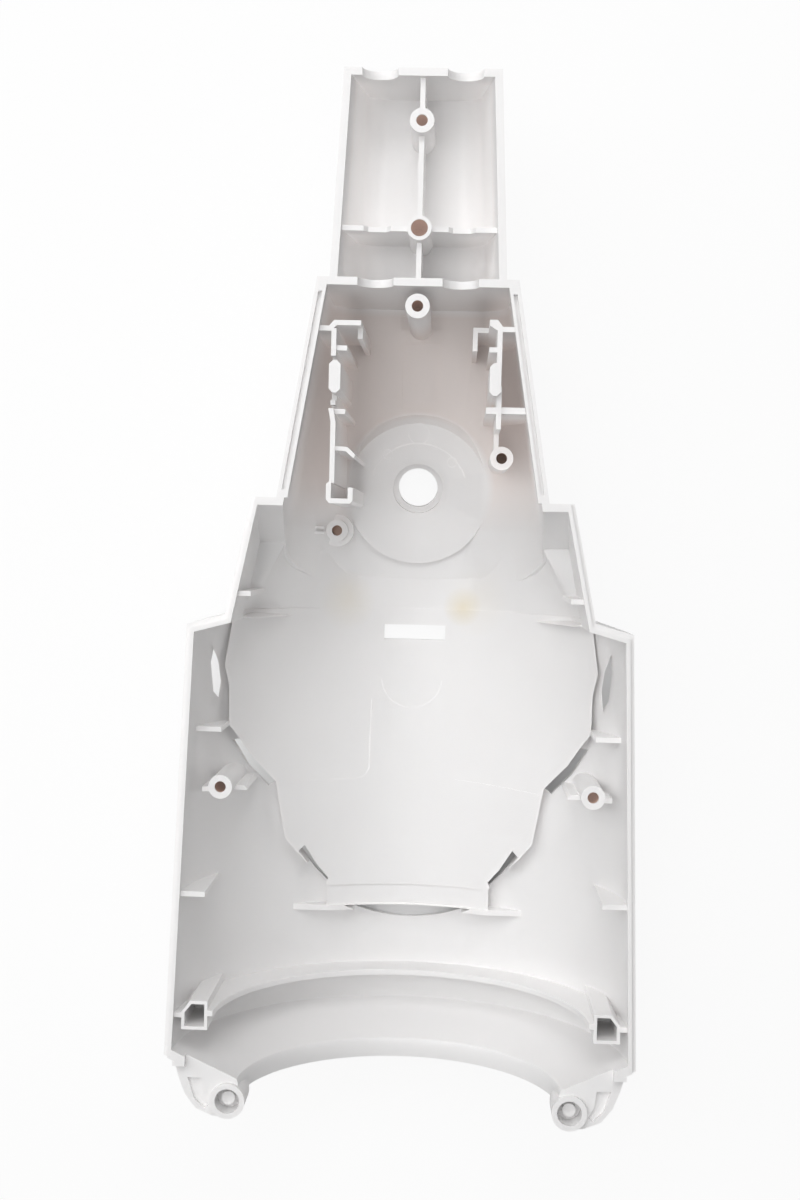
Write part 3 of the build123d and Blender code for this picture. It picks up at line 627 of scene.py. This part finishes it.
def floor_material(stage):
    """White floor with the shell's shadow, lifted to white for the camera but not under the trough."""
    material, tree = blank_material("floor_white")
    diffuse = add_node(tree, "ShaderNodeBsdfDiffuse", 0, {"Color": opaque(FLOOR_COLOUR)})
    glow = add_node(tree, "ShaderNodeEmission", 0, {"Color": opaque(WHITE), "Strength": 1.0})
    seen = add_node(tree, "ShaderNodeLightPath", "Is Camera Ray")
    x, y, _ = scaled(tree, add_node(tree, "ShaderNodeTexCoord", "Object"), 1.0 / MM).parts()
    under = before(abs(x), *SHADE_SIDE) * past(y, *SHADE_START) * before(y, *SHADE_END)
    lifted = seen * stage.floor_glow * (1.0 - under * stage.under_shade)
    mixed = add_node(tree, "ShaderNodeMixShader", 0, {0: lifted, 1: diffuse, 2: glow})
    add_node(tree, "ShaderNodeOutputMaterial", inputs={"Surface": mixed})
    return material


def studio_world(stage):
    """Even soft surroundings that the camera sees as white."""
    world = bpy.data.worlds.new("studio")
    world.use_nodes = True
    tree = world.node_tree
    tree.nodes.clear()
    soft = add_node(tree, "ShaderNodeBackground", 0, {"Color": opaque(WHITE), "Strength": stage.sky})
    plain = add_node(tree, "ShaderNodeBackground", 0, {"Color": opaque(WHITE), "Strength": 1.0})
    seen = add_node(tree, "ShaderNodeLightPath", "Is Camera Ray")
    mixed = add_node(tree, "ShaderNodeMixShader", 0, {0: seen, 1: soft, 2: plain})
    add_node(tree, "ShaderNodeOutputWorld", inputs={"Surface": mixed})
    return world


def white_floor(stage):
    """Flat floor under the shell."""
    work = bmesh.new()
    bmesh.ops.create_grid(work, x_segments=1, y_segments=1, size=stage.floor_size / 2)
    mesh = bpy.data.meshes.new("floor")
    work.to_mesh(mesh)
    work.free()
    mesh.materials.append(floor_material(stage))
    floor = bpy.data.objects.new("floor", mesh)
    bpy.context.collection.objects.link(floor)
    return floor


def area_light(name, spot, target, size, power):
    """Square soft light aimed at a target."""
    lamp = bpy.data.lights.new(name, "AREA")
    lamp.shape = "SQUARE"
    lamp.size = size
    lamp.energy = power
    light = bpy.data.objects.new(name, lamp)
    light.location = spot
    light.rotation_euler = (Vector(target) - Vector(spot)).to_track_quat("-Z", "Y").to_euler()
    bpy.context.collection.objects.link(light)


def camera_matrix():
    """Place and turn of the camera, from where the part's down direction vanishes in the image."""
    across = DOWN_POINT[0] - IMAGE_SIZE[0] / 2
    along = DOWN_POINT[1] - IMAGE_SIZE[1] / 2
    down = Vector((across, along, FOCAL_PIXELS)).normalized()
    side = Vector((math.cos(CAMERA_ROLL), math.sin(CAMERA_ROLL), 0.0))
    side = (side - down * side.dot(down)).normalized()
    away = side.cross(down)
    right = Vector((side.x, away.x, -down.x))
    up = -Vector((side.y, away.y, -down.y))
    back = -Vector((side.z, away.z, -down.z))
    turn = Matrix((right, up, back)).transposed()
    return Matrix.Translation(Vector(CAMERA_SPOT) * MM) @ turn.to_4x4()


def picture_camera():
    """Camera that sees the shell as the picture does."""
    lens = bpy.data.cameras.new("camera")
    lens.sensor_fit = "VERTICAL"
    lens.sensor_height = SENSOR_HEIGHT
    lens.lens = SENSOR_HEIGHT * FOCAL_PIXELS / IMAGE_SIZE[1]
    lens.clip_start = CAMERA_NEAR * MM
    camera = bpy.data.objects.new("camera", lens)
    camera.matrix_world = camera_matrix()
    bpy.context.collection.objects.link(camera)
    return camera


class HOUSING_OT_stage(bpy.types.Operator):
    """Add the floor, the lights and the camera"""

    bl_idname = "housing.stage"
    bl_label = "Set up stage"

    def execute(self, context):
        stage = context.scene.stage_look
        floor = white_floor(stage)
        for name, spot, size, power in LAMPS:
            area_light(name, spot, LAMP_TARGET, size, power * stage.light)
        context.scene.world = studio_world(stage)
        bpy.context.scene.camera = picture_camera()
        context.scene.view_settings.view_transform = "Standard"
        return {"FINISHED"}


class HOUSING_PT_panel(bpy.types.Panel):
    """Buttons and values of the housing in the sidebar"""

    bl_idname = "HOUSING_PT_panel"
    bl_label = "Housing"
    bl_space_type = "VIEW_3D"
    bl_region_type = "UI"
    bl_category = "Housing"

    def draw(self, context):
        for group in (context.scene.shell_look, context.scene.stage_look):
            for name in group.__annotations__:
                self.layout.prop(group, name)
        self.layout.operator("housing.shell")
        self.layout.operator("housing.stage")


CLASSES = (ShellLook, StageLook, HOUSING_OT_shell, HOUSING_OT_stage, HOUSING_PT_panel)


def register():
    """Makes the classes and the values known to Blender."""
    for item in CLASSES:
        bpy.utils.register_class(item)
    bpy.types.Scene.shell_look = bpy.props.PointerProperty(type=ShellLook)
    bpy.types.Scene.stage_look = bpy.props.PointerProperty(type=StageLook)


def unregister():
    """Takes the classes and the values away again."""
    del bpy.types.Scene.stage_look
    del bpy.types.Scene.shell_look
    for item in reversed(CLASSES):
        bpy.utils.unregister_class(item)


def main():
    """Builds the finished shell and its stage."""
    register()
    bpy.ops.housing.shell()
    bpy.ops.housing.stage()


if __name__ == "__main__":
    main()
